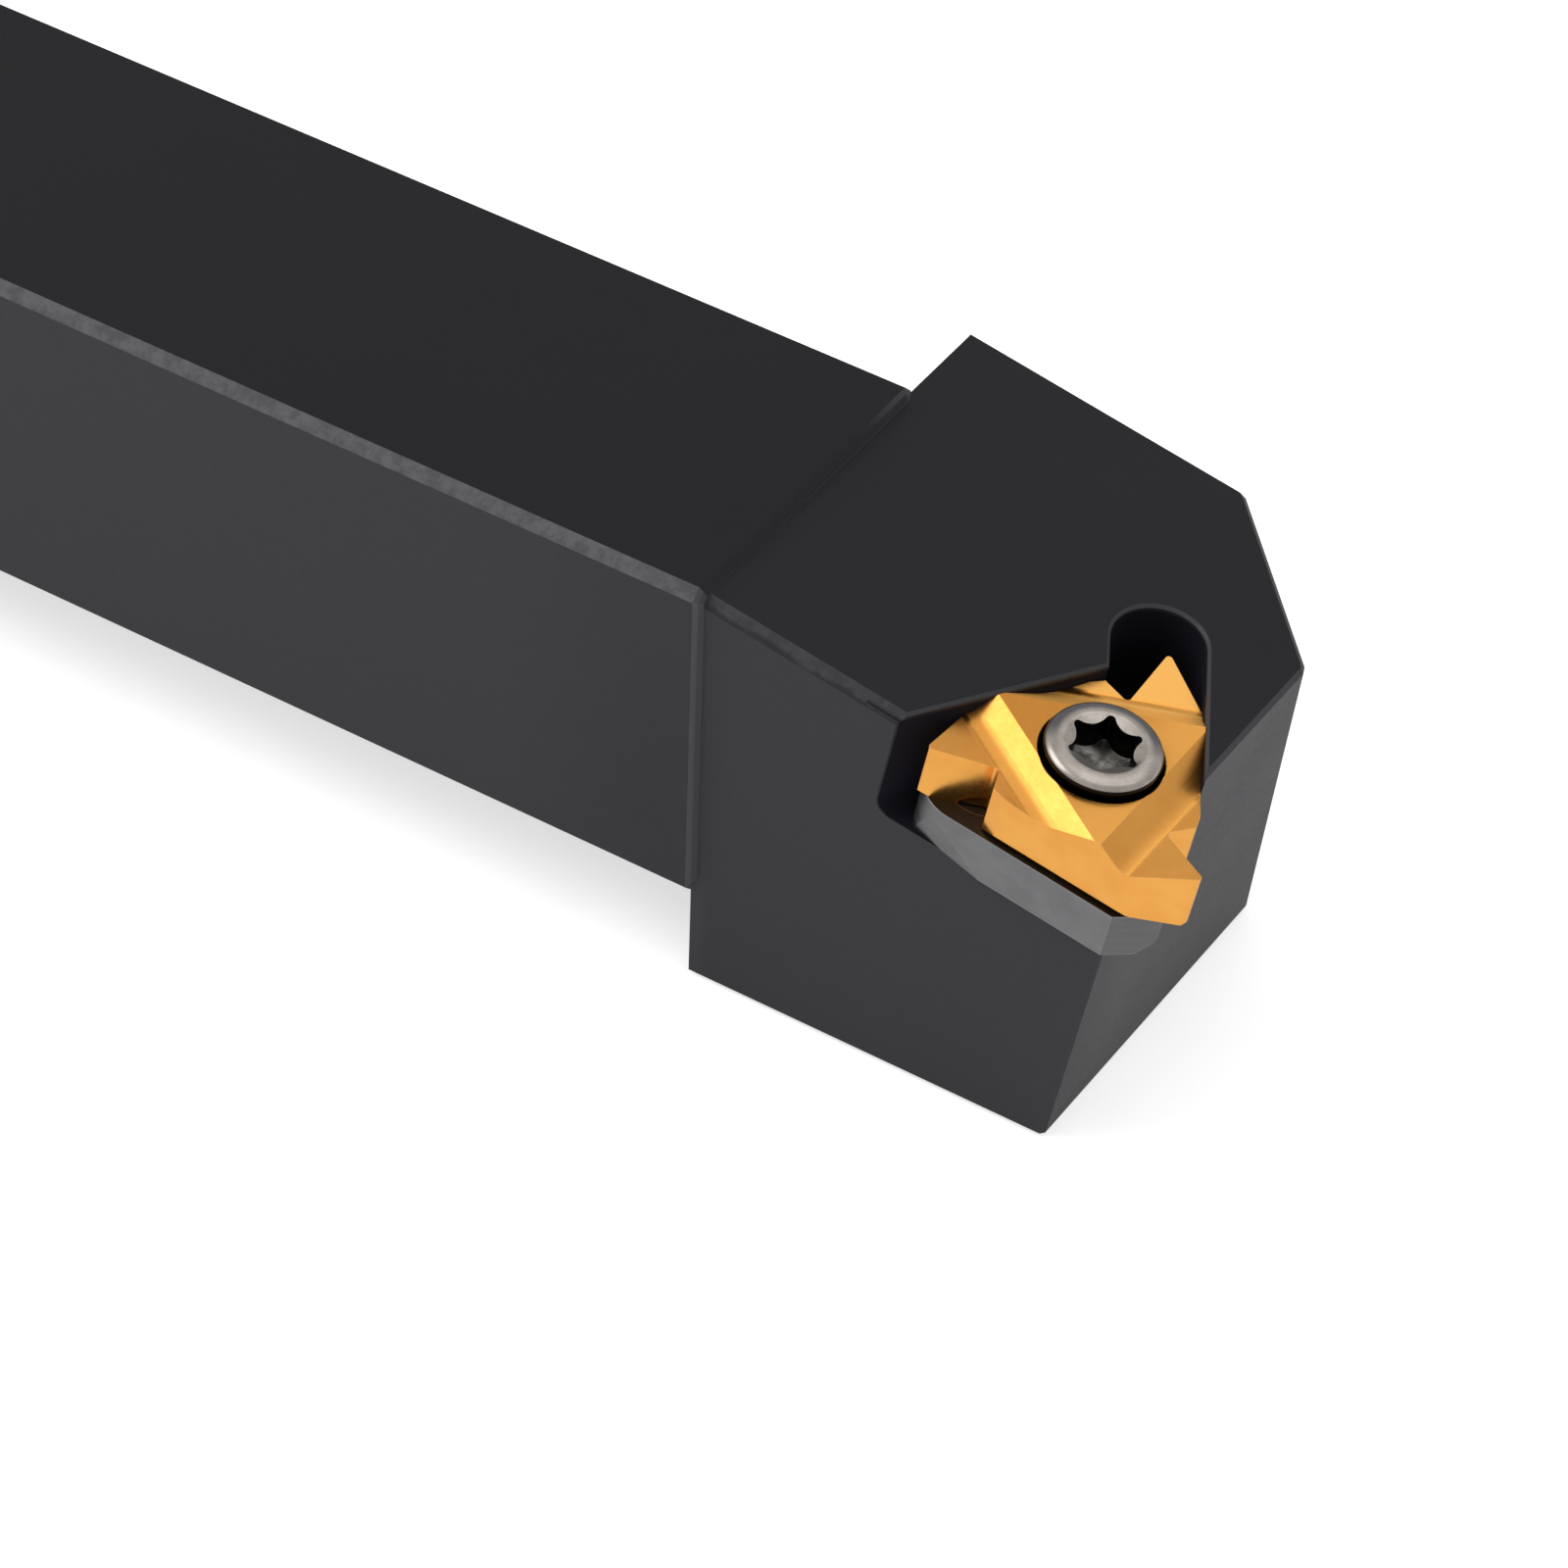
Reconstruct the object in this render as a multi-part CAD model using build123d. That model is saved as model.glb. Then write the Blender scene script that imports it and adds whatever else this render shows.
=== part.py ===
from build123d import *
import os
from math import atan2, cos, degrees, radians, sin, tan

# External threading tool: a square holder with a lay-down three-cornered insert in its head.
# Frame: origin at the middle of the shank's bottom seat, +X towards the cutting end,
# +Y towards the side where the head overhangs, +Z up. Lengths in millimetres, angles in degrees.

# Overall size and shank
overall_length = 150.0
shank_width = 25.0
shank_height = 25.0
shank_edge_chamfer = 0.75
back_end_chamfer = 1.0

# Head, measured from the shank's faces and from the seam where the head starts
head_length = 32.0
head_side_setback = 0.7
head_step_length = 0.4
head_top_drop = 0.65
head_overhang_side = 7.5
head_overhang_below = 7.2
head_corner_cut = 11.75
head_edge_chamfer = 0.3
head_near_edge_chamfer = 0.7
end_face_relief_angle = 10.0

# Slope of the head's top, which the insert's seat follows
seat_fall_angle = 10.0
seat_tilt_angle = 0.5

# Insert: distances called reach are measured from the axis of its hole along the tooth's direction
inscribed_diameter = 12.7
insert_thickness = 4.65
insert_bottom_bevel = 0.35
tooth_angle = 60.0
tooth_reach = 9.7
tooth_offset = 4.07
tooth_nose_radius = 0.25
tooth_root_reach = 5.9
tooth_root_radius = 0.3
shoulder_reach = 7.2
shoulder_flank_angle = 49.0
shoulder_corner_reach = 6.93
land_reach = 3.8
groove_ramp_angle = 35.0
groove_foot_radius = 1.8
rake_angle = 11.0
tooth_crest_drop = 0.45
insert_hole_diameter = 5.5
insert_hole_mouth_diameter = 8.0
insert_hole_mouth_depth = 2.25

# Place of the insert in the head
insert_from_end = 6.85
insert_from_front = 6.85
land_below_top = 0.15

# Pocket and the relief slot at its inner corner
seat_clearance = 0.02
pocket_fillet = 1.0
relief_slot_width = 6.1
relief_slot_reach = 13.25
pocket_rim_chamfer = 0.2

# Insert screw
screw_head_diameter = 7.2
screw_head_height = 1.05
screw_head_edge_height = 0.5
screw_head_edge_width = 0.4
screw_cone_angle = 60.0
screw_diameter = 5.0
screw_length = 16.0
screw_end_chamfer = 0.5
cone_clearance = 0.02
thread_clearance = 0.03
tapped_hole_spare = 2.0
drill_point_angle = 118.0
lobe_count = 6
lobe_outer_diameter = 4.8
lobe_inner_diameter = 3.45
lobe_tip_radius = 0.3
lobe_socket_depth = 2.2
lobe_turn = 52.0

# Shim
shim_thickness = 3.45
shim_front_reach = 6.65
shim_open_side_reach = 5.1
shim_tip_reach = 8.4
shim_tip_facet_angle = 43.5
shim_tip_radius = 0.3
shim_corner_radius = 3.0
shim_bottom_bevel = 1.2
shim_relief_direction = 260.0
shim_relief_reach = 7.05
shim_relief_angle = 14.0
shim_hole_diameter = 5.5

# Shim screw
shim_screw_reach = 6.3
shim_screw_direction = 210.0
shim_screw_diameter = 2.5
shim_screw_hole_diameter = 2.9
shim_screw_length = 8.0
shim_screw_head_diameter = 4.4
shim_screw_head_rim = 0.2
shim_screw_cone_angle = 90.0
shim_screw_sink = 0.1
shim_screw_end_chamfer = 0.3
hex_socket_width = 1.5
hex_socket_depth = 1.2

# Directions of the three teeth and of the two seat walls, round the hole's axis
working_tooth = 0.0
tooth_directions = [working_tooth, working_tooth + 120.0, working_tooth + 240.0]
open_side = working_tooth + tooth_angle / 2
closed_side = open_side + 120.0
front_side = open_side + 240.0

# Values that follow from the sizes above
side_reach = inscribed_diameter / 2
half_tooth = radians(tooth_angle / 2)
tooth_apex_reach = tooth_reach + tooth_nose_radius * (1 / sin(half_tooth) - 1)
seat_normal = Vector(tan(radians(seat_fall_angle)), tan(radians(seat_tilt_angle)), 1).normalized()
seat_along = (Vector(1, 0, 0) - seat_normal * seat_normal.X).normalized()
insert_from_seam = head_length - insert_from_end
crest_below_top = land_below_top + tooth_crest_drop
tip_from_seam = insert_from_seam + tooth_reach * seat_along.X - crest_below_top * seat_normal.X
shank_length = overall_length - tip_from_seam
seam_x = shank_length / 2
end_x = seam_x + head_length
front_y = -shank_width / 2 + head_side_setback
far_y = shank_width / 2 + head_overhang_side
top_start = Vector(seam_x, -shank_width / 2, shank_height - head_top_drop)
shim_top = -insert_thickness
pocket_floor = shim_top - shim_thickness
cut_past = overall_length


def head_top_plane():
    """Plane of the head's sloping top."""
    return Plane(origin=top_start, x_dir=seat_along, z_dir=seat_normal)


def seat_plane():
    """Plane of the insert's lands, with its origin on the hole's axis and X along the working tooth."""
    x = seam_x + insert_from_seam
    y = -shank_width / 2 + insert_from_front
    fall = (x - top_start.X) * seat_normal.X + (y - top_start.Y) * seat_normal.Y
    on_top = Vector(x, y, top_start.Z - fall / seat_normal.Z)
    return Plane(origin=on_top - seat_normal * land_below_top, x_dir=seat_along, z_dir=seat_normal)


def place_on_seat(shape):
    """Move a solid from the insert's own frame into the head."""
    return seat_plane() * shape


def polar(reach, direction, along=0.0):
    """Point at a reach in a direction, then moved sideways, anticlockwise, by a distance."""
    a = radians(direction)
    return (reach * cos(a) - along * sin(a), reach * sin(a) + along * cos(a))


def crossing(reach_a, direction_a, reach_b, direction_b):
    """Corner where two sides meet, each given by its distance from the axis and its direction."""
    a = radians(direction_a)
    b = radians(direction_b)
    turn = sin(b - a)
    x = (reach_a * sin(b) - reach_b * sin(a)) / turn
    y = (reach_b * cos(a) - reach_a * cos(b)) / turn
    return (x, y)


def prism(outline, low, high):
    """Upright solid over a closed outline, between two heights."""
    return Pos(0, 0, low) * extrude(make_face(outline), amount=high - low, dir=(0, 0, 1))


def round_bar(diameter, low, high):
    """Upright cylinder on the local Z axis, between two heights."""
    bar = Cylinder(diameter / 2, high - low, align=(Align.CENTER, Align.CENTER, Align.MIN))
    return Pos(0, 0, low) * bar


def turned(points):
    """Solid turned about the local Z axis, from corners given as radius and height."""
    outline = Polyline(*[(radius, 0, height) for radius, height in points], close=True)
    return revolve(make_face(outline), axis=Axis.Z)


def tapped_hole(diameter, high, low):
    """Blind hole with a drill's cone at its bottom."""
    radius = diameter / 2 + thread_clearance
    point = radius / tan(radians(drill_point_angle / 2))
    return turned([(0, high), (radius, high), (radius, low), (0, low - point)])


def square_shank():
    """Square bar with chamfered long edges and back end, and a slanting step down to the head."""
    bar = Pos(0, 0, shank_height / 2) * Box(shank_length, shank_width, shank_height)
    bar = chamfer(bar.edges().filter_by(Axis.X), shank_edge_chamfer)
    slant = degrees(atan2(head_side_setback, head_step_length))
    step = extrude(bar.faces().sort_by(Axis.X)[-1], amount=head_step_length, taper=slant)
    return chamfer(bar.faces().sort_by(Axis.X)[0].edges(), back_end_chamfer) + step


def head_block():
    """Head with its relieved end face, its cut far corner and its sloping top."""
    lean = tan(radians(end_face_relief_angle))
    low_end_x = end_x - lean * (shank_height + head_overhang_below)
    side_view = Polyline(
        (seam_x, 0, -head_overhang_below),
        (low_end_x, 0, -head_overhang_below),
        (end_x, 0, shank_height),
        (seam_x, 0, shank_height),
        close=True,
    )
    plan_view = Polyline(
        (seam_x, front_y),
        (end_x, front_y),
        (end_x, far_y - head_corner_cut),
        (end_x - head_corner_cut, far_y),
        (seam_x, far_y),
        close=True,
    )
    block = extrude(make_face(side_view), amount=cut_past, both=True)
    block = block & prism(plan_view, -head_overhang_below, shank_height)
    above = Box(cut_past, cut_past, cut_past, align=(Align.CENTER, Align.CENTER, Align.MIN))
    return block - head_top_plane() * above


def near_top_edge(head):
    """Edge between the head's sloping top and its near side."""
    near_side = head.faces().sort_by(Axis.Y)[0]
    return near_side.edges().sort_by(Axis.Z)[-1]


def free_head_edges(head):
    """Edges of the head to break lightly: all but those of the near top chamfer and at the shank."""
    back = head.faces().sort_by(Axis.X)[0]
    near_side = head.faces().sort_by(Axis.Y)[0]
    lowest = back.edges().sort_by(Axis.Z)[0]
    farthest = back.edges().sort_by(Axis.Y)[-1]
    near_y = front_y + 1.5 * head_near_edge_chamfer
    ahead = [edge for edge in head.edges() if edge.center().X > seam_x + head_edge_chamfer]
    ahead = [edge for edge in ahead if edge.center().Y > near_y or edge.center().Z < shank_height / 2]
    return ahead + [lowest, farthest]


def rounded_foot(cutter, directions):
    """Round the bottom edges of a cutter that run along the given directions, and its arcs."""
    foot = cutter.faces().sort_by(Axis.Z)[0].edges()
    chosen = list(foot.filter_by(GeomType.CIRCLE))
    for direction in directions:
        chosen += foot.filter_by(Axis((0, 0, 0), (*polar(1, direction), 0)))
    return fillet(chosen, pocket_fillet)


def pocket_cutter():
    """Space of the insert, its shim and the relief slot, open at the near side and the end."""
    wall = side_reach + seat_clearance
    slot_middle = wall - relief_slot_width / 2
    slot_straight = relief_slot_reach - relief_slot_width / 2
    seat_space = Polyline(
        crossing(slot_middle, open_side, wall, closed_side),
        polar(wall, closed_side, cut_past),
        polar(wall, open_side, -cut_past),
        polar(wall, open_side, slot_straight / 2),
        close=True,
    )
    seat_cutter = prism(seat_space, pocket_floor, cut_past)
    seat_cutter = rounded_foot(seat_cutter, [open_side + 90, closed_side + 90])
    slot = Pos(slot_straight / 2, 0) * Rectangle(slot_straight, relief_slot_width)
    slot += Pos(slot_straight, 0) * Circle(relief_slot_width / 2)
    slot = Pos(*polar(slot_middle, open_side)) * Rot(0, 0, open_side + 90) * slot
    slot_cutter = Pos(0, 0, pocket_floor) * extrude(slot, amount=cut_past - pocket_floor)
    return seat_cutter + rounded_foot(slot_cutter, [open_side + 90])


def pocket_rim(head, milled_head):
    """Edges that the pocket and the slot leave in the head's top."""
    top_plane = head_top_plane()
    rim = []
    for edge in new_edges(head, combined=milled_head):
        heights = [top_plane.to_local_coords(edge @ place).Z for place in (0, 0.5, 1)]
        if max(abs(height) for height in heights) < 0.001:
            rim.append(edge)
    return rim


def tool_holder():
    """One-piece steel holder: shank, head, pocket and the two tapped holes."""
    head = head_block()
    head = chamfer(near_top_edge(head), head_near_edge_chamfer)
    head = chamfer(free_head_edges(head), head_edge_chamfer)
    milled_head = head - place_on_seat(pocket_cutter())
    body = square_shank() + chamfer(pocket_rim(head, milled_head), pocket_rim_chamfer)
    screw_end = screw_head_height - screw_length
    body -= place_on_seat(tapped_hole(screw_diameter, 0, screw_end - tapped_hole_spare))
    shim_screw_end = shim_top - shim_screw_sink - shim_screw_length
    hole = tapped_hole(shim_screw_diameter, 0, shim_screw_end - tapped_hole_spare)
    return body - place_on_seat(Pos(*shim_screw_place()) * hole)


def tooth_corners(direction):
    """Corners of one tooth, from its working flank round its shoulder to the next side."""
    flank_foot = tooth_apex_reach - (side_reach - tooth_offset) / tan(half_tooth)
    root_aside = (tooth_apex_reach - tooth_root_reach) * tan(half_tooth) - tooth_offset
    shoulder_aside = root_aside + (shoulder_reach - tooth_root_reach) * tan(radians(shoulder_flank_angle))
    side_slope = radians(open_side - working_tooth)
    corner_aside = (side_reach - shoulder_corner_reach * cos(side_slope)) / sin(side_slope)
    return [
        polar(flank_foot, direction, -side_reach),
        polar(tooth_apex_reach, direction, -tooth_offset),
        polar(tooth_root_reach, direction, root_aside),
        polar(shoulder_reach, direction, shoulder_aside),
        polar(shoulder_corner_reach, direction, corner_aside),
    ]


def chip_groove(direction):
    """Cutter of the rake face of one tooth, with the ramp that rises to the land."""
    slope = tan(radians(rake_angle))
    ramp = tan(radians(groove_ramp_angle))
    depth_at_land = tooth_crest_drop + (tooth_reach - land_reach) * slope
    foot_reach = land_reach + depth_at_land / (ramp + slope)
    foot_drop = (foot_reach - land_reach) * ramp
    above = insert_thickness
    past = tooth_reach * 2
    section = FilletPolyline(
        (land_reach - above / ramp, 0, above),
        (foot_reach, 0, -foot_drop),
        (past, 0, (past - tooth_reach) * slope - tooth_crest_drop),
        (past, 0, above * 2),
        radius=[0, groove_foot_radius, 0, 0],
        close=True,
    )
    cutter = extrude(make_face(section), amount=tooth_reach, both=True)
    return Rot(0, 0, direction) * cutter


def foot_bevel(reach, direction, bottom, size):
    """Cutter of a 45 degree bevel along the bottom edge of a side at a reach in a direction."""
    section = Polyline(
        (reach - size, 0, bottom),
        (reach + size, 0, bottom),
        (reach + size, 0, bottom + 2 * size),
        close=True,
    )
    return Rot(0, 0, direction) * extrude(make_face(section), amount=cut_past, both=True)


def trumpet_radius():
    """Radius of the arc that widens the insert's hole towards its mouth."""
    widening = (insert_hole_mouth_diameter - insert_hole_diameter) / 2
    return (widening**2 + insert_hole_mouth_depth**2) / (2 * widening)


def insert_hole():
    """Cutter of the insert's hole: a plain bore with a trumpet-shaped mouth."""
    bore = insert_hole_diameter / 2
    mouth = insert_hole_mouth_diameter / 2
    arc = trumpet_radius()
    centre = bore + arc
    half_way = radians(25.0)
    bottom = -insert_thickness * 2
    throat = (bore, 0, -insert_hole_mouth_depth)
    section = Polyline(throat, (bore, 0, bottom), (0, 0, bottom), (0, 0, 0), (mouth, 0, 0))
    section += ThreePointArc(
        (mouth, 0, 0),
        (centre - arc * cos(half_way), 0, arc * sin(half_way) - insert_hole_mouth_depth),
        throat,
    )
    return revolve(make_face(section), axis=Axis.Z)


def threading_insert():
    """Three-cornered insert with a tooth, a shoulder and a chip groove at each corner."""
    corners = []
    radii = []
    for direction in tooth_directions:
        corners += tooth_corners(direction)
        radii += [0, tooth_nose_radius, tooth_root_radius, 0, 0]
    outline = FilletPolyline(*corners, radius=radii, close=True)
    blank = prism(outline, -insert_thickness, 0)
    for direction in tooth_directions:
        blank -= chip_groove(direction)
        blank -= foot_bevel(side_reach, direction + open_side, -insert_thickness, insert_bottom_bevel)
    return place_on_seat(blank - insert_hole())


def lobe_socket():
    """Cutter of the six-lobe socket: round lobe tips joined by inward arcs."""
    tip_radius = lobe_tip_radius
    tip_centre = lobe_outer_diameter / 2 - tip_radius
    valley = lobe_inner_diameter / 2
    half_pitch = 180.0 / lobe_count
    spread = tip_centre * cos(radians(half_pitch))
    top = tip_centre**2 + valley**2 - 2 * spread * valley - tip_radius**2
    valley_radius = top / (2 * (tip_radius - valley + spread))
    valley_centre = valley + valley_radius
    section = []
    for lobe in range(lobe_count):
        turn = lobe_turn + lobe * 2 * half_pitch
        tip = Vector(*polar(tip_centre, turn))
        before = Vector(*polar(valley_centre, turn - half_pitch))
        after = Vector(*polar(valley_centre, turn + half_pitch))
        following = Vector(*polar(tip_centre, turn + 2 * half_pitch))
        start = tip + (before - tip).normalized() * tip_radius
        middle = tip + (after - tip).normalized() * tip_radius
        end = following + (after - following).normalized() * tip_radius
        section.append(ThreePointArc(start, polar(lobe_outer_diameter / 2, turn), middle))
        section.append(ThreePointArc(middle, polar(valley, turn + half_pitch), end))
    return prism(section, screw_head_height - lobe_socket_depth, screw_head_height)


def insert_screw():
    """Countersunk screw, whose cone seats on the trumpet of the insert's hole."""
    half_cone = radians(screw_cone_angle / 2)
    arc = trumpet_radius()
    seat_radius = insert_hole_diameter / 2 + arc * (1 - cos(half_cone))
    seat_height = arc * sin(half_cone) - insert_hole_mouth_depth
    cone_radius = seat_radius - cone_clearance / cos(half_cone)
    head = screw_head_diameter / 2
    shank = screw_diameter / 2
    bottom = screw_head_height - screw_length
    screw = turned([
        (0, screw_head_height),
        (head - screw_head_edge_width, screw_head_height),
        (head, screw_head_height - screw_head_edge_height),
        (head, seat_height + (head - cone_radius) / tan(half_cone)),
        (shank, seat_height + (shank - cone_radius) / tan(half_cone)),
        (shank, bottom + screw_end_chamfer),
        (shank - screw_end_chamfer, bottom),
        (0, bottom),
    ])
    return place_on_seat(screw - lobe_socket())


def shim_screw_place():
    """Axis of the shim screw in the insert's own frame."""
    return polar(shim_screw_reach, shim_screw_direction)


def shim_outline():
    """Plan of the shim: two sides along the seat, the near side and a facet under the working tooth."""
    facet_slope = radians(shim_tip_facet_angle)
    side_slope = radians(open_side)
    tip_aside = (shim_open_side_reach - shim_tip_reach * cos(side_slope)) / sin(side_slope)
    facet_run = (shim_front_reach + tip_aside) / tan(facet_slope)
    return FilletPolyline(
        (shim_tip_reach - facet_run, -shim_front_reach),
        (shim_tip_reach, tip_aside),
        crossing(shim_open_side_reach, open_side, side_reach, closed_side),
        crossing(side_reach, closed_side, shim_front_reach, front_side),
        radius=[0, shim_tip_radius, shim_corner_radius, shim_corner_radius],
        close=True,
    )


def shim_relief():
    """Cutter of the leaning relief that ends the shim's near side at its inner corner."""
    lean = 2 * shim_thickness * tan(radians(shim_relief_angle))
    section = Polyline(
        (shim_relief_reach, 0, pocket_floor),
        (shim_relief_reach + lean, 0, pocket_floor + 2 * shim_thickness),
        (shim_relief_reach + 2 * lean, 0, pocket_floor),
        close=True,
    )
    return Rot(0, 0, shim_relief_direction) * extrude(make_face(section), amount=cut_past, both=True)


def shim():
    """Plate under the insert, bevelled below where it lies along the pocket's fillets."""
    plate = prism(shim_outline(), pocket_floor, shim_top) - shim_relief()
    for reach, direction in [(side_reach, closed_side), (shim_open_side_reach, open_side)]:
        plate -= foot_bevel(reach, direction, pocket_floor, shim_bottom_bevel)
    plate -= round_bar(shim_hole_diameter, pocket_floor * 2, 0)
    half_cone = radians(shim_screw_cone_angle / 2)
    head = shim_screw_head_diameter / 2
    hole = shim_screw_hole_diameter / 2
    rim = shim_top - shim_screw_sink - shim_screw_head_rim
    wide = head + cone_clearance
    rim_low = rim - cone_clearance * (1 / cos(half_cone) - 1) / tan(half_cone)
    seat = turned([
        (0, 0),
        (wide, 0),
        (wide, rim_low),
        (hole, rim_low - (wide - hole) / tan(half_cone)),
        (hole, pocket_floor * 2),
        (0, pocket_floor * 2),
    ])
    return place_on_seat(plate - Pos(*shim_screw_place()) * seat)


def shim_screw():
    """Small countersunk screw that holds the shim, with a hexagon socket."""
    half_cone = radians(shim_screw_cone_angle / 2)
    head = shim_screw_head_diameter / 2
    shank = shim_screw_diameter / 2
    top = shim_top - shim_screw_sink
    bottom = top - shim_screw_length
    rim = top - shim_screw_head_rim
    screw = turned([
        (0, top),
        (head, top),
        (head, rim),
        (shank, rim - (head - shank) / tan(half_cone)),
        (shank, bottom + shim_screw_end_chamfer),
        (shank - shim_screw_end_chamfer, bottom),
        (0, bottom),
    ])
    hexagon = RegularPolygon(hex_socket_width / 2, 6, major_radius=False)
    socket = Pos(0, 0, top - hex_socket_depth) * extrude(hexagon, amount=hex_socket_depth)
    return place_on_seat(Pos(*shim_screw_place()) * (screw - socket))


nodes = {
    "tool_holder": tool_holder(),
    "threading_insert": threading_insert(),
    "insert_screw": insert_screw(),
    "shim": shim(),
    "shim_screw": shim_screw(),
}
os.makedirs("parts", exist_ok=True)
for name, shape in nodes.items():
    export_step(shape, f"parts/{name}.step")
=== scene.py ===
from math import cos, pi, radians, sin, sqrt

import bmesh
import bpy
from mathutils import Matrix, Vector


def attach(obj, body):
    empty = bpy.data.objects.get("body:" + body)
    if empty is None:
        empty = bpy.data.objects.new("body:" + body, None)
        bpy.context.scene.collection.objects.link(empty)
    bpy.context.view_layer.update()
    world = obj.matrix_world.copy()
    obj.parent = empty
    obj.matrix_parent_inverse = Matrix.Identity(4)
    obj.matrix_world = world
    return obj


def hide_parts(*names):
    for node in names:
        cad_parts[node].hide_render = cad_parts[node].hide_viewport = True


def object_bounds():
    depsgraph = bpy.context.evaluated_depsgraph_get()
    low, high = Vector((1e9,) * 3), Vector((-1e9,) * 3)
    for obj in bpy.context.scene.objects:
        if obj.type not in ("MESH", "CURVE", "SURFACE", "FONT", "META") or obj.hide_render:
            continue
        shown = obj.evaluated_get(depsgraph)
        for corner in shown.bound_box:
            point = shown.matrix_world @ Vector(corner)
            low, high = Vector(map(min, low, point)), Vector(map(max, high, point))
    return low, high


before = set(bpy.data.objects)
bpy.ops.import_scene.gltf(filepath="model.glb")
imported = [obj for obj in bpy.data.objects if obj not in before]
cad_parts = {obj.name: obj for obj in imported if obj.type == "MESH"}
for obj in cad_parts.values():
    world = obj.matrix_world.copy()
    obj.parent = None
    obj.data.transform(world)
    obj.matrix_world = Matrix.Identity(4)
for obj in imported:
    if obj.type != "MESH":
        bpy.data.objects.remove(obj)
cad_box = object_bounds()
scene = bpy.context.scene

MM = 0.001

# The insert's seat, in metres: origin on the axis of its hole at the top of the lands,
# X along the working tooth, Z along the screw.
SEAT = {
    "origin": (0.082825, -0.005651, 0.019708),
    "x": (0.984809, -0.001515, -0.173635),
    "y": (0.0, 0.999962, -0.008727),
    "z": (0.173642, 0.008594, 0.984771),
}
# Directions in the seat, in degrees from its X
SEAT_FRONT = -60.0  # towards the camera
WALL_BY_END = 30.0  # towards the pocket's wall that runs out at the end face

# The step between shank and head: where it starts and how long it is
SEAM_X = 57.7 * MM
SEAM_STEP = 0.4 * MM

# Colours, as linear red, green and blue. Pairs are the darkest and the lightest of a pattern.
BLACK_STEEL = {
    "shaded_shank_top": (0.0012, 0.0012, 0.0022),
    "shaded_head_top": (0.0055, 0.0055, 0.0066),
    "sides": ((0.0270, 0.0270, 0.0310), (0.0305, 0.0305, 0.0345)),
    "shank_side_by_head": (0.0210, 0.0210, 0.0245),
    "lit_head_side_by_seam": (0.0350, 0.0350, 0.0390),
    "lit_foot_of_end": (0.0640, 0.0640, 0.0650),
    "bevels": ((0.071, 0.071, 0.077), (0.113, 0.113, 0.122)),
    "pocket_rim": (0.050, 0.050, 0.054),
    "seam_highlight_on_side": ((0.105, 0.105, 0.114), (0.070, 0.070, 0.077)),
    "seam_highlight_on_far_top": ((0.062, 0.062, 0.068), (0.016, 0.016, 0.018)),
    "seam_highlight_on_near_top": (0.0125, 0.0125, 0.0145),
    "pocket": (0.0220, 0.0210, 0.0310),
    "reflection_tint": (0.93, 0.93, 1.0, 1.0),
}
COATED_CARBIDE = {
    "coating": ((0.91, 0.405, 0.082), (0.96, 0.455, 0.102)),
    "edges": (1.0, 0.62, 0.24),
    "shaded_back_of_land": (0.80, 0.335, 0.062),
    "lit_front_of_land": (1.0, 0.46, 0.085),
    "lit_far_tooth": (1.0, 0.53, 0.120),
    "hole": (0.012, 0.010, 0.008),
}
SCREW_STEEL = {
    "turned": ((0.43, 0.390, 0.350), (0.53, 0.485, 0.440)),
    "worn": (0.30, 0.265, 0.235),
    "socket_floor": ((0.15, 0.138, 0.120), (0.52, 0.50, 0.475)),
    "back_of_floor": (0.05, 0.047, 0.042),
    "lead_in": (0.13, 0.120, 0.110),
    "shaded_back_of_rim": (0.170, 0.162, 0.172),
    "unlit": (0.014, 0.014, 0.013),
}
SHIM_GREY = {
    "ground": ((0.190, 0.190, 0.196), (0.220, 0.220, 0.226)),
    "end_facet": (0.155, 0.155, 0.158),
    "top": (0.045, 0.045, 0.045),
    "edges": (0.38, 0.38, 0.39),
}
SHIM_SCREW_STEEL = {"blackened": ((0.02, 0.02, 0.021), (0.04, 0.04, 0.042))}
PALE_FLOOR = {"paper": ((0.86, 0.86, 0.86), (0.88, 0.88, 0.88)), "glow": (1, 1, 1, 1)}
SEEN_GLOW = 0.6
MIRRORED_GLOW = 0.2

# Parts of a noise's values over which a pattern goes from its first colour to its second
NOISE_RANGE = (0.3, 0.7)
NOISE_UPPER_RANGE = (0.35, 0.7)

# Factors on a noise's coordinates that draw it out into turning or grinding marks
RING_STRETCH = 9.0
GRIND_STRETCH = 0.12

BEVEL_SAMPLES = 6

# Screws, in millimetres and degrees in the insert's seat. A head holds pairs of radius and height.
LOBE_TURN = 52.0
LOBE_SPACING = 60.0
LOBE_TIP = {"radius": 0.3, "centre": 2.1, "half_angle": 7.36}
LOBE_VALLEY = {"radius": 1.297, "centre": 3.022}
INSERT_SCREW = {
    "place": (0.0, 0.0),
    "socket": {"floor_height": -1.15, "mouth_radius": 2.5, "mouth_height": 1.04, "slope": 0.30},
    "head": (
        (2.54, 1.05), (2.65, 1.05), (2.85, 1.043), (3.05, 1.02), (3.22, 0.983), (3.36, 0.935),
        (3.48, 0.87), (3.58, 0.79), (3.65, 0.70), (3.70, 0.59), (3.72, 0.46), (3.60, -0.028),
        (2.5, -1.933), (2.5, -2.6),
    ),
    "thread": {
        "radius": 2.5, "depth": 0.49, "pitch": 0.8, "high": -2.6, "low": -14.95, "end_chamfer": 0.5,
    },
}
HEXAGON_HALF_WIDTH = 0.75
HEXAGON_SPACING = 60.0
SHIM_SCREW_REACH = 6.3
SHIM_SCREW_DIRECTION = 210.0
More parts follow.
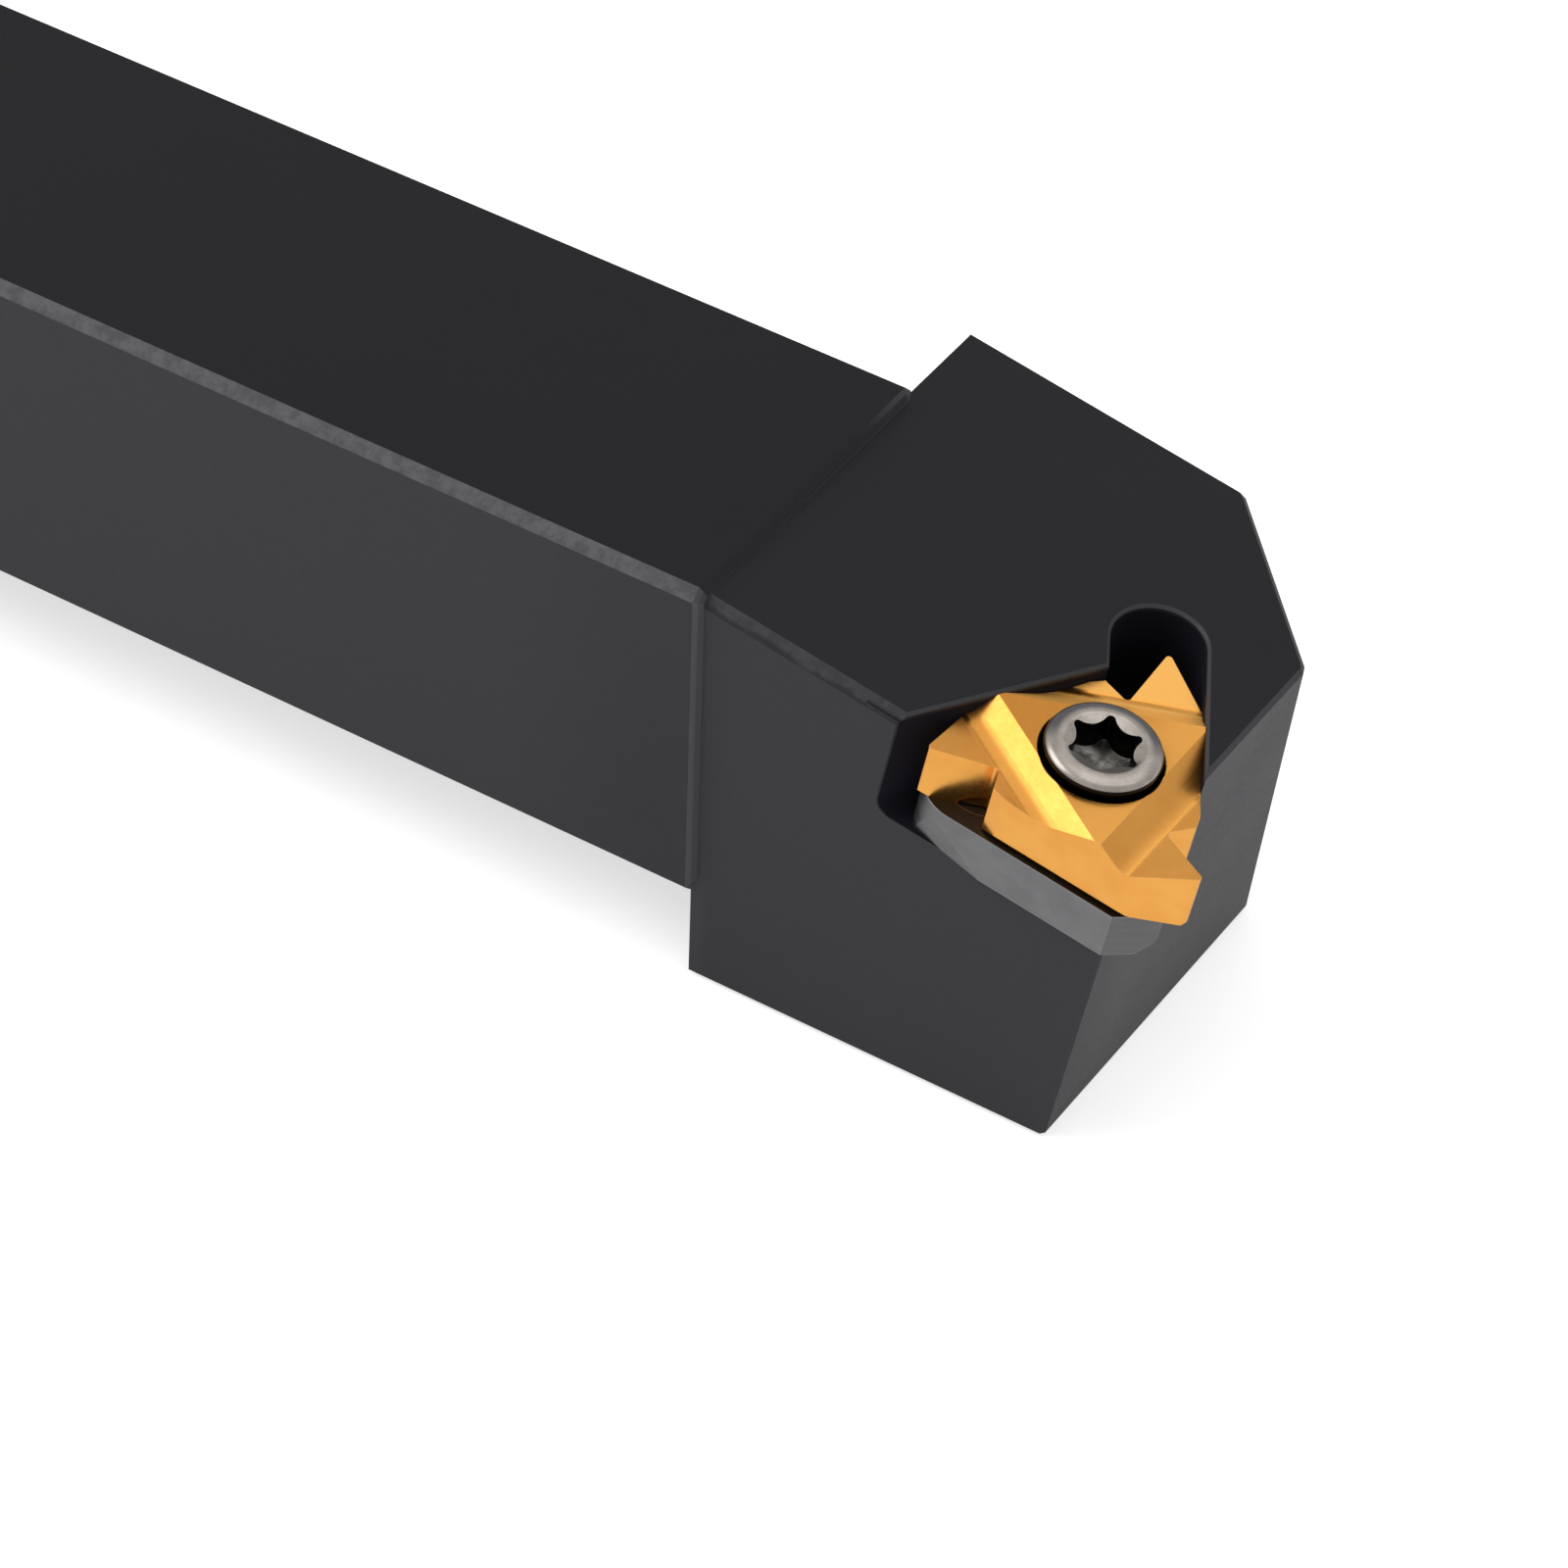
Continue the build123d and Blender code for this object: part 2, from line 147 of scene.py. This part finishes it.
SHIM_SCREW = {
    "place": (
        SHIM_SCREW_REACH * cos(radians(SHIM_SCREW_DIRECTION)),
        SHIM_SCREW_REACH * sin(radians(SHIM_SCREW_DIRECTION)),
    ),
    "socket": {"floor_height": -5.95, "mouth_radius": 0.95, "mouth_height": -4.75, "slope": 1.0},
    "head": (
        (1.00, -4.75), (2.12, -4.75), (2.18, -4.78), (2.20, -4.84), (2.20, -4.95), (1.25, -5.9),
        (1.25, -6.6),
    ),
    "thread": {
        "radius": 1.25, "depth": 0.27, "pitch": 0.45, "high": -6.6, "low": -12.75,
        "end_chamfer": 0.3,
    },
}
SOCKET_DISH = 0.1  # how far the floor's middle lies below its rim
SOCKET_FLOOR_SHARES = (0.5, 0.93)
SOCKET_WALL_RISES = (0.08, 0.4)
SOCKET_EDGE_DROP = 0.12
SOCKET_MOUTH_SHARES = (0.12, 0.35, 0.7, 0.97)
SCREW_SEGMENTS = 144
THREAD_STEPS_PER_TURN = 10
CREST_SHARE = 0.125  # of half a pitch, flat at the thread's crest
FLANK_SHARE = 0.625  # of half a pitch, sloping
WELD_DISTANCE = 1e-8  # metres
SHARP_ANGLE = 40.0

# Stage, in metres. The camera's turn is in radians, its lens and sensor in millimetres.
FLOOR_REACH = 6.0
FLOOR_GAP = 0.03 * MM  # keeps the floor clear of the head's underside
LAMP_AIM = (0.06, 0.0, 0.01)
WORLD_STRENGTH = 0.58
CAMERA_PLACE = (0.22683732, -0.27966975, 0.2951803)
CAMERA_TURN = (0.83617676, -0.02921308, 0.57186256)
CAMERA_LENS = 157.8295
CAMERA_SENSOR = 36.0
CAMERA_CLIP_START = 0.01

# Sockets of Blender's nodes that share their names with others
MIX_FIRST, MIX_SECOND, MIX_RESULT = 6, 7, 2
RANGE_LIMITS = slice(1, 5)


class Nodes:
    """Short calls that build a material's node tree."""

    def __init__(self, name):
        self.material = bpy.data.materials.new(name)
        self.material.use_nodes = True
        self.tree = self.material.node_tree
        self.shader = self.tree.nodes["Principled BSDF"]

    def add(self, kind, **values):
        node = self.tree.nodes.new(kind)
        for key, value in values.items():
            setattr(node, key, value)
        return node

    def feed(self, socket, value):
        """Link another node's output to the socket, or set a plain value on it."""
        if isinstance(value, bpy.types.NodeSocket):
            self.tree.links.new(value, socket)
        else:
            socket.default_value = value

    def math(self, operation, a, b):
        node = self.add("ShaderNodeMath", operation=operation)
        self.feed(node.inputs[0], a)
        self.feed(node.inputs[1], b)
        return node.outputs[0]

    def below(self, value, limit):
        return self.math("LESS_THAN", value, limit)

    def above(self, value, limit):
        return self.math("GREATER_THAN", value, limit)

    def either(self, a, b):
        return self.math("MAXIMUM", a, b)

    def product(self, *values):
        total = values[0]
        for value in values[1:]:
            total = self.math("MULTIPLY", total, value)
        return total

    def dot(self, a, b):
        node = self.add("ShaderNodeVectorMath", operation="DOT_PRODUCT")
        self.feed(node.inputs[0], a)
        self.feed(node.inputs[1], b)
        return node.outputs["Value"]

    def mix(self, factor, a, b):
        node = self.add("ShaderNodeMix", data_type="RGBA")
        self.feed(node.inputs["Factor"], factor)
        for index, colour in ((MIX_FIRST, a), (MIX_SECOND, b)):
            self.feed(node.inputs[index], (*colour, 1) if isinstance(colour, tuple) else colour)
        return node.outputs[MIX_RESULT]

    def band(self, value, low, high, to_low=0.0, to_high=1.0):
        """The value mapped smoothly from one range to another."""
        node = self.add("ShaderNodeMapRange", interpolation_type="SMOOTHSTEP")
        self.feed(node.inputs["Value"], value)
        for socket, number in zip(node.inputs[RANGE_LIMITS], (low, high, to_low, to_high)):
            socket.default_value = number
        return node.outputs["Result"]

    def noise(self, place, scale, detail, roughness):
        node = self.add("ShaderNodeTexNoise")
        self.feed(node.inputs["Vector"], place)
        node.inputs["Scale"].default_value = scale
        node.inputs["Detail"].default_value = detail
        node.inputs["Roughness"].default_value = roughness
        return node.outputs["Fac"]

    def joined(self, x, y, z):
        node = self.add("ShaderNodeCombineXYZ")
        for socket, value in zip(node.inputs, (x, y, z)):
            self.feed(socket, value)
        return node.outputs["Vector"]

    def split(self, vector):
        node = self.add("ShaderNodeSeparateXYZ")
        self.feed(node.inputs[0], vector)
        return node.outputs

    def object_place(self):
        return self.add("ShaderNodeTexCoord").outputs["Object"]

    def object_normal(self):
        return self.add("ShaderNodeTexCoord").outputs["Normal"]

    def facing(self, direction):
        """1 on faces that look along the direction, 0 on faces square to them."""
        return self.dot(self.object_normal(), direction)

    def facing_axes(self):
        """How far a face looks along each of the object's axes, either way."""
        node = self.add("ShaderNodeVectorMath", operation="ABSOLUTE")
        self.feed(node.inputs[0], self.object_normal())
        return self.split(node.outputs["Vector"])

    def seat_place(self):
        """Coordinates in the insert's seat: x, y, z and the distance from the hole's axis."""
        node = self.add("ShaderNodeVectorMath", operation="SUBTRACT")
        self.feed(node.inputs[0], self.object_place())
        self.feed(node.inputs[1], SEAT["origin"])
        x, y, z = (self.dot(node.outputs["Vector"], SEAT[axis]) for axis in "xyz")
        radius = self.add("ShaderNodeMath", operation="SQRT")
        self.feed(radius.inputs[0], self.math("ADD", self.product(x, x), self.product(y, y)))
        return x, y, z, radius.outputs[0]

    def reach(self, x, y, direction):
        """Distance from the hole's axis along a direction in the seat, in degrees from its X."""
        turn = radians(direction)
        return self.math("ADD", self.product(x, cos(turn)), self.product(y, sin(turn)))

    def rounded_normal(self, radius):
        node = self.add("ShaderNodeBevel", samples=BEVEL_SAMPLES)
        node.inputs["Radius"].default_value = radius
        return node.outputs["Normal"]

    def edges(self, radius, low, high):
        """1 on the edges of the mesh, 0 away from them."""
        flat = self.add("ShaderNodeNewGeometry").outputs["Normal"]
        return self.band(self.dot(self.rounded_normal(radius), flat), high, low)

    def surface(self, height, strength, distance, edge_radius=None):
        """Bump, over edges that catch the light as rounded ones do where a radius is given."""
        node = self.add("ShaderNodeBump")
        node.inputs["Strength"].default_value = strength
        node.inputs["Distance"].default_value = distance
        self.feed(node.inputs["Height"], height)
        if edge_radius:
            self.feed(node.inputs["Normal"], self.rounded_normal(edge_radius))
        self.feed(self.shader.inputs["Normal"], node.outputs["Normal"])

    def set(self, **values):
        """Values for the shader's sockets, with _ for the spaces in their names."""
        for name, value in values.items():
            self.feed(self.shader.inputs[name.replace("_", " ")], value)


def black_steel():
    """Black oxide over ground and forged steel, with painted shade on the tops and in the pocket,
    painted light by the seam and at the foot of the end, and pale bevels on the shank, partly wear
    and partly painted highlight.
    """
    m = Nodes("black_steel")
    tone = BLACK_STEEL
    place = m.object_place()
    along, across, height = m.split(place)
    from_seam = m.math("SUBTRACT", along, SEAM_X)
    facing_x, facing_y, facing_z = m.facing_axes()
    x, y, z, radius = m.seat_place()
    upright = m.facing(SEAT["z"])
    cloud = m.noise(place, scale=60.0, detail=4.0, roughness=0.6)
    grain = m.noise(place, scale=2600.0, detail=2.0, roughness=0.6)
    worn = m.noise(place, scale=900.0, detail=3.0, roughness=0.7)
    blotch = m.noise(place, scale=420.0, detail=3.0, roughness=0.65)

    # Tops and sides, with painted shade that makes the tops far darker than the sides
    on_shank = m.below(from_seam, 0.0)
    on_head = m.math("SUBTRACT", 1.0, on_shank)
    top = m.mix(on_shank, tone["shaded_head_top"], tone["shaded_shank_top"])
    side = m.mix(m.band(cloud, *NOISE_UPPER_RANGE), *tone["sides"])
    by_head = m.product(on_shank, m.band(from_seam, -16 * MM, 0.0))
    side = m.mix(by_head, side, tone["shank_side_by_head"])
    # Painted light on the head's side next to the seam, over the shade of the inner corner
    by_seam = m.product(m.band(from_seam, 1.6 * MM, 0.4 * MM), on_head)
    side = m.mix(by_seam, side, tone["lit_head_side_by_seam"])
    # Painted light on the end face, lighter towards its foot
    lit_foot_of_end = m.product(
        m.band(facing_x, 0.85, 0.97), m.band(from_seam, 15 * MM, 20 * MM),
        m.band(across, -11 * MM, -5 * MM), m.band(height, 12 * MM, -6 * MM),
    )
    side = m.mix(lit_foot_of_end, side, tone["lit_foot_of_end"])
    is_side = m.band(facing_z, 0.45, 0.15)
    colour = m.mix(is_side, top, side)

    # Bevels: pale along the shank, fainter and ragged along the head's upper edges; partly wear and
    # partly painted highlight
    bevel = m.mix(m.band(worn, 0.35, 0.65), *tone["bevels"])
    is_bevel = m.band(m.product(m.either(facing_x, facing_y), facing_z), 0.3, 0.45)
    ragged_height = m.math("ADD", z, m.product(blotch, 0.8 * MM))
    head_wear_and_highlight = m.product(
        m.band(ragged_height, -0.08 * MM, 0.18 * MM, to_low=0.16, to_high=0.45),
        m.band(blotch, 0.25, 0.45, to_low=0.85, to_high=1.0),
    )
    colour = m.mix(m.product(is_bevel, m.either(head_wear_and_highlight, on_shank)), colour, bevel)

    # The pocket's rim chamfer, with a painted highlight
    rim = m.product(
        m.band(upright, 0.45, 0.6), m.band(upright, 0.95, 0.85), m.below(radius, 14.8 * MM),
        m.above(z, -0.2 * MM), m.below(facing_y, 0.66),
    )
    colour = m.mix(rim, colour, tone["pocket_rim"])

    # The step between shank and head, with painted highlights on its face and edges over the inner
    # corner's shade, brightest at the far end
    seam = m.product(
        m.band(from_seam, -0.04 * MM, 0.02 * MM),
        m.band(from_seam, SEAM_STEP + 0.04 * MM, SEAM_STEP - 0.02 * MM),
        m.band(facing_x, 0.2, 0.5),
    )
    inner_half = m.band(from_seam, 0.16 * MM, 0.24 * MM)
    side_highlight = m.mix(inner_half, *tone["seam_highlight_on_side"])
    top_highlight = m.mix(inner_half, *tone["seam_highlight_on_far_top"])
    top_highlight = m.mix(m.band(across, 12 * MM, 6 * MM), top_highlight, tone["seam_highlight_on_near_top"])
    beside_top = m.either(m.band(facing_y, 0.25, 0.40), m.band(facing_z, 0.4, 0.1))
    colour = m.mix(seam, colour, m.mix(beside_top, top_highlight, side_highlight))

    # Painted shade on the walls of the pocket and of the relief slot: dark, rough and barely
    # reflecting
    pocket_shade = m.product(
        m.below(x, 6.6 * MM), m.above(y, -6.0 * MM), m.below(radius, 14.5 * MM),
        m.below(m.reach(x, y, WALL_BY_END), 6.45 * MM), m.band(z, -0.1 * MM, -0.4 * MM),
        m.above(z, -8.3 * MM),
    )
    sheen = m.math("ADD", cloud, m.product(grain, 0.6))
    roughness = m.band(sheen, 0.5, 1.1, to_low=0.42, to_high=0.52)
    m.set(
        Base_Color=m.mix(pocket_shade, colour, tone["pocket"]),
        Metallic=m.product(pocket_shade, 0.8),
        Specular_IOR_Level=0.31,
        Specular_Tint=tone["reflection_tint"],
        Roughness=m.either(roughness, m.product(pocket_shade, 0.9)),
    )
    m.surface(grain, strength=0.12, distance=0.02 * MM, edge_radius=0.1 * MM)
    return m.material


def coated_carbide():
    """Gold nitride coating over ground carbide, with painted highlights along its edges, painted
    light and shade on the land and the far tooth, and painted shade inside the hole.
    """
    m = Nodes("coated_carbide")
    tone = COATED_CARBIDE
    place = m.object_place()
    x, y, z, radius = m.seat_place()
    upright = m.facing(SEAT["z"])
    cloud = m.noise(place, scale=320.0, detail=3.0, roughness=0.6)
    grain = m.noise(place, scale=3200.0, detail=2.0, roughness=0.6)

    gold = m.mix(m.band(cloud, *NOISE_UPPER_RANGE), *tone["coating"])
    # Painted highlights along the edges
    edges = m.product(m.edges(radius=0.06 * MM, low=0.90, high=0.99), 0.5)
    gold = m.mix(edges, gold, tone["edges"])

    # The land, with painted shade at its back and painted light at its front, and painted light on
    # the tooth at the far corner
    land = m.band(upright, 0.997, 0.999)
    gold = m.mix(m.product(land, m.band(x, 1 * MM, -3 * MM)), gold, tone["shaded_back_of_land"])
    # Painted light on the rake and ramp of the tooth at the far corner
    lit_far_tooth = m.product(
        m.band(upright, 0.3, 0.6), m.above(y, 0.3 * MM), m.below(x, 3.4 * MM),
    )
    rake = m.product(lit_far_tooth, m.band(upright, 0.998, 0.990))
    ramp = m.product(lit_far_tooth, m.band(upright, 0.990, 0.975))
    gold = m.mix(m.product(rake, 0.5), gold, tone["lit_far_tooth"])
    gold = m.mix(ramp, gold, tone["lit_far_tooth"])
    # Painted light on the front of the land
    lit_front_of_land = m.product(land, m.band(x, 0.0, 2.5 * MM))
    gold = m.mix(lit_front_of_land, gold, tone["lit_front_of_land"])
    # Painted shade inside the hole
    shaded_hole = m.product(
        m.band(radius, 3.99 * MM, 3.93 * MM), m.band(z, -0.01 * MM, -0.06 * MM),
    )

    matt = m.either(ramp, m.product(lit_front_of_land, 0.55))
    pressed = m.product(m.band(upright, 0.3, 0.6), m.band(upright, 0.998, 0.990))
    roughness = m.band(grain, *NOISE_RANGE, to_low=0.19, to_high=0.24)
    m.set(
        Base_Color=m.mix(shaded_hole, gold, tone["hole"]),
        Metallic=m.band(matt, 0.0, 1.0, to_low=1.0, to_high=0.4),
        Roughness=m.math("ADD", roughness, m.product(pressed, 0.15)),
    )
    m.surface(grain, strength=0.03, distance=0.01 * MM, edge_radius=0.06 * MM)
    return m.material


def screw_steel():
    """Turned steel, with painted shade on the socket's walls, the cone and the thread."""
    m = Nodes("screw_steel")
    tone = SCREW_STEEL
    place = m.object_place()
    x, y, z, radius = m.seat_place()
    upright = m.facing(SEAT["z"])
    front = m.reach(x, y, SEAT_FRONT)
    round_the_axis = m.joined(
        m.product(radius, RING_STRETCH), 0.0, m.product(z, RING_STRETCH),
    )
    ring = m.noise(round_the_axis, scale=700.0, detail=3.0, roughness=0.6)
    cloud = m.noise(place, scale=900.0, detail=3.0, roughness=0.6)
    worn = m.noise(place, scale=2400.0, detail=4.0, roughness=0.65)

    steel = m.mix(m.band(cloud, *NOISE_RANGE), *tone["turned"])
    steel = m.mix(m.band(worn, 0.50, 0.75, to_high=0.5), steel, tone["worn"])

    # The socket: mottled floor, shaded at its back, and the lead-in at its front
    in_socket = m.product(m.band(z, -0.95 * MM, -1.05 * MM), m.band(upright, 0.6, 0.8))
    mottled = m.mix(m.band(cloud, 0.38, 0.66), *tone["socket_floor"])
    mottled = m.mix(m.band(front, -0.9 * MM, -1.9 * MM), mottled, tone["back_of_floor"])
    steel = m.mix(in_socket, steel, mottled)
    lead_in = m.product(
        m.band(radius, 2.52 * MM, 2.42 * MM), m.band(front, 0.7 * MM, 1.4 * MM),
        m.band(upright, 0.5, 0.7), m.band(z, 0.0, 0.3 * MM),
    )
    steel = m.mix(lead_in, steel, tone["lead_in"])

    # Painted shade on the back of the head's rim
    shaded_back_of_rim = m.product(
        m.band(radius, 2.70 * MM, 3.15 * MM), m.band(front, 0.8 * MM, -1.2 * MM),
    )
    steel = m.mix(shaded_back_of_rim, steel, tone["shaded_back_of_rim"])
    below_rim = m.product(m.band(z, 0.72 * MM, 0.64 * MM), m.band(upright, 0.65, 0.45))
    socket_wall = m.product(m.band(radius, 2.46 * MM, 2.42 * MM), m.band(upright, 0.6, 0.4))
    m.set(
        Base_Color=m.mix(m.either(below_rim, socket_wall), steel, tone["unlit"]),
        Metallic=m.band(in_socket, 0.0, 1.0, to_low=1.0, to_high=0.4),
        Roughness=m.band(ring, *NOISE_RANGE, to_low=0.22, to_high=0.34),
    )
    m.surface(ring, strength=0.12, distance=0.01 * MM)
    return m.material


def shim_grey():
    """Bare ground carbide, dull grey, with painted highlights along its edges and painted shade on
    its top.
    """
    m = Nodes("shim_grey")
    tone = SHIM_GREY
    x, y, z, _ = m.seat_place()
    stretched = m.joined(m.product(x, GRIND_STRETCH), m.product(y, GRIND_STRETCH), z)
    lines = m.noise(stretched, scale=2600.0, detail=3.0, roughness=0.6)
    cloud = m.noise(m.object_place(), scale=400.0, detail=3.0, roughness=0.6)
    grey = m.mix(m.band(cloud, *NOISE_RANGE), *tone["ground"])
    grey = m.mix(m.band(m.facing(SEAT["x"]), 0.4, 0.6), grey, tone["end_facet"])
    # Painted shade on the top, which lies under the insert
    grey = m.mix(m.band(m.facing(SEAT["z"]), 0.8, 0.95), grey, tone["top"])
    m.set(
        # Painted highlights along the edges
        Base_Color=m.mix(m.edges(radius=0.15 * MM, low=0.80, high=0.98), grey, tone["edges"]),
        Metallic=1.0,
        Roughness=m.band(lines, *NOISE_RANGE, to_low=0.36, to_high=0.48),
    )
    m.surface(lines, strength=0.10, distance=0.01 * MM, edge_radius=0.08 * MM)
    return m.material


def shim_screw_steel():
    """Small blackened screw."""
    m = Nodes("shim_screw_steel")
    cloud = m.noise(m.object_place(), scale=1200.0, detail=3.0, roughness=0.6)
    m.set(
        Base_Color=m.mix(m.band(cloud, *NOISE_RANGE), *SHIM_SCREW_STEEL["blackened"]),
        Metallic=1.0,
        Roughness=m.band(cloud, *NOISE_RANGE, to_low=0.35, to_high=0.45),
    )
    return m.material


def pale_floor():
    """Matt white paper, lifted to white where the camera and mirrored rays see it."""
    m = Nodes("pale_floor")
    speckle = m.noise(m.object_place(), scale=120.0, detail=3.0, roughness=0.6)
    seen = m.add("ShaderNodeLightPath").outputs
    mirrored = m.either(seen["Is Glossy Ray"], seen["Is Transmission Ray"])
    glow = m.either(
        m.product(seen["Is Camera Ray"], SEEN_GLOW), m.product(mirrored, MIRRORED_GLOW),
    )
    m.set(
        Base_Color=m.mix(m.band(speckle, *NOISE_RANGE), *PALE_FLOOR["paper"]),
        Roughness=0.9,
        Specular_IOR_Level=0.1,
        Emission_Color=PALE_FLOOR["glow"],
        Emission_Strength=glow,
    )
    return m.material


def off_centre(angle, spacing):
    """Degrees from the nearest of the directions that stand a spacing apart, 0 being one."""
    return abs((angle + spacing / 2) % spacing - spacing / 2)


def lobe_reach(angle):
    """Distance from the axis to the wall of the six-lobe socket, in a direction in degrees."""
    aside = off_centre(angle - LOBE_TURN, LOBE_SPACING)
    if aside < LOBE_TIP["half_angle"]:
        centre, radius, turn = LOBE_TIP["centre"], LOBE_TIP["radius"], radians(aside)
        return centre * cos(turn) + sqrt(radius**2 - (centre * sin(turn)) ** 2)
    centre, radius = LOBE_VALLEY["centre"], LOBE_VALLEY["radius"]
    turn = radians(LOBE_SPACING / 2 - aside)
    return centre * cos(turn) - sqrt(radius**2 - (centre * sin(turn)) ** 2)


def hexagon_reach(angle):
    """Distance from the axis to the wall of the hexagon socket, in a direction in degrees."""
    return HEXAGON_HALF_WIDTH / cos(radians(off_centre(angle, HEXAGON_SPACING)))


def socket_rows(reach, floor_height, mouth_radius, mouth_height, slope):
    """Rows of a socket from the middle of its floor up its wall to a round countersunk mouth."""

    def on_floor(share):
        return lambda angle: (reach(angle) * share, floor_height)

    def on_wall(rise):
        return lambda angle: (reach(angle), floor_height + rise)

    def on_mouth(share, drop=0.0):
        def row(angle):
            radius = reach(angle) + (mouth_radius - reach(angle)) * share
            return radius, mouth_height - (mouth_radius - radius) * slope - drop
        return row

    rows = [lambda angle: (0.0, floor_height - SOCKET_DISH)]
    rows += [on_floor(share) for share in SOCKET_FLOOR_SHARES]
    rows += [on_wall(rise) for rise in SOCKET_WALL_RISES]
    rows += [on_mouth(0.0, drop=SOCKET_EDGE_DROP)]
    return rows + [on_mouth(share) for share in SOCKET_MOUTH_SHARES]


def thread_rows(radius, depth, pitch, high, low, end_chamfer):
    """Rows of a right-hand thread that runs out at its top and has a chamfered end."""

    def at(height):
        runout = min((high - height) / pitch, 1.0)

        def row(angle):
            wave = abs(2.0 * ((height / pitch - angle / 360.0) % 1.0) - 1.0)
            notch = depth * min(max((wave - CREST_SHARE) / FLANK_SHARE, 0.0), 1.0) * runout
            return min(radius - notch, radius - end_chamfer + height - low), height
        return row

    steps = round((high - low) / pitch * THREAD_STEPS_PER_TURN)
    return [at(high + (low - high) * step / steps) for step in range(steps + 1)]


def fixed_rows(profile):
    """Rows that are the same all round, from pairs of radius and height."""
    return [lambda angle, point=point: point for point in profile]


def screw_mesh(name, rows, place):
    """Closed mesh through the rows, in the insert's seat."""
    origin, along_x, along_y, along_z = (Vector(SEAT[key]) for key in ("origin", "x", "y", "z"))
    shape = bmesh.new()
    rings = []
    for row in rows:
        ring = []
        for segment in range(SCREW_SEGMENTS):
            angle = 360.0 * segment / SCREW_SEGMENTS
            radius, height = row(angle)
            x = place[0] + radius * cos(radians(angle))
            y = place[1] + radius * sin(radians(angle))
            point = origin + (along_x * x + along_y * y + along_z * height) * MM
            ring.append(shape.verts.new(point))
        rings.append(ring)
    for upper, lower in zip(rings, rings[1:]):
        for a in range(SCREW_SEGMENTS):
            b = (a + 1) % SCREW_SEGMENTS
            shape.faces.new((upper[a], upper[b], lower[b], lower[a]))
    bmesh.ops.remove_doubles(shape, verts=shape.verts, dist=WELD_DISTANCE)
    bmesh.ops.recalc_face_normals(shape, faces=shape.faces)
    for face in shape.faces:
        face.smooth = True
    mesh = bpy.data.meshes.new(name)
    shape.to_mesh(mesh)
    shape.free()
    mesh.set_sharp_from_angle(angle=radians(SHARP_ANGLE))
    return mesh


def screw(node, shape, reach, material):
    """Detailed countersunk screw with a socket and a thread, in place of its node."""
    rows = socket_rows(reach, **shape["socket"]) + fixed_rows(shape["head"])
    rows += thread_rows(**shape["thread"]) + fixed_rows([(0.0, shape["thread"]["low"])])
    mesh = screw_mesh(node + "_detailed", rows, shape["place"])
    mesh.materials.append(material)
    piece = bpy.data.objects.new(node + "_detailed", mesh)
    scene.collection.objects.link(piece)
    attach(piece, "root")
    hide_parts(node)


def dress(node, material):
    """The material on all of a CAD node's faces."""
    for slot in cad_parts[node].material_slots:
        slot.link = "OBJECT"
        slot.material = material


def floor(height):
    """Large level plane under the tool."""
    near, far = -FLOOR_REACH, FLOOR_REACH
    corners = [(near, near, height), (far, near, height), (far, far, height), (near, far, height)]
    mesh = bpy.data.meshes.new("floor")
    mesh.from_pydata(corners, [], [(0, 1, 2, 3)])
    mesh.materials.append(pale_floor())
    piece = bpy.data.objects.new("floor", mesh)
    scene.collection.objects.link(piece)


def soft_lamp(name, turn, rise, away, size, radiance):
    """Square lamp that faces the head from a compass direction and a height in degrees."""
    a, b = radians(turn), radians(rise)
    toward = Vector((cos(a) * cos(b), sin(a) * cos(b), sin(b)))
    lamp = bpy.data.lights.new(name, "AREA")
    lamp.shape = "SQUARE"
    lamp.size = size
    lamp.energy = radiance * pi * size * size
    piece = bpy.data.objects.new(name, lamp)
    piece.location = Vector(LAMP_AIM) + toward * away
    piece.rotation_euler = toward.to_track_quat("Z", "Y").to_euler()
    scene.collection.objects.link(piece)


def white_world(strength):
    world = bpy.data.worlds.new("studio")
    world.use_nodes = True
    background = world.node_tree.nodes["Background"]
    background.inputs["Color"].default_value = (1, 1, 1, 1)
    background.inputs["Strength"].default_value = strength
    scene.world = world


def camera():
    """The photograph's camera, from a fit to the edges of shank, head and insert."""
    eye = bpy.data.cameras.new("camera")
    eye.lens = CAMERA_LENS
    eye.sensor_width = CAMERA_SENSOR
    eye.clip_start = CAMERA_CLIP_START
    piece = bpy.data.objects.new("camera", eye)
    piece.location = CAMERA_PLACE
    piece.rotation_euler = CAMERA_TURN
    scene.collection.objects.link(piece)
    scene.camera = piece


dress("tool_holder", black_steel())
dress("threading_insert", coated_carbide())
dress("shim", shim_grey())
screw("insert_screw", INSERT_SCREW, lobe_reach, screw_steel())
screw("shim_screw", SHIM_SCREW, hexagon_reach, shim_screw_steel())
floor(cad_box[0][2] - FLOOR_GAP)
soft_lamp("key_lamp", turn=-152.0, rise=48.0, away=0.9, size=0.6, radiance=2.35)
soft_lamp("top_lamp", turn=60.0, rise=72.0, away=1.0, size=0.8, radiance=0.6)
white_world(WORLD_STRENGTH)
camera()
scene.view_settings.view_transform = "Standard"
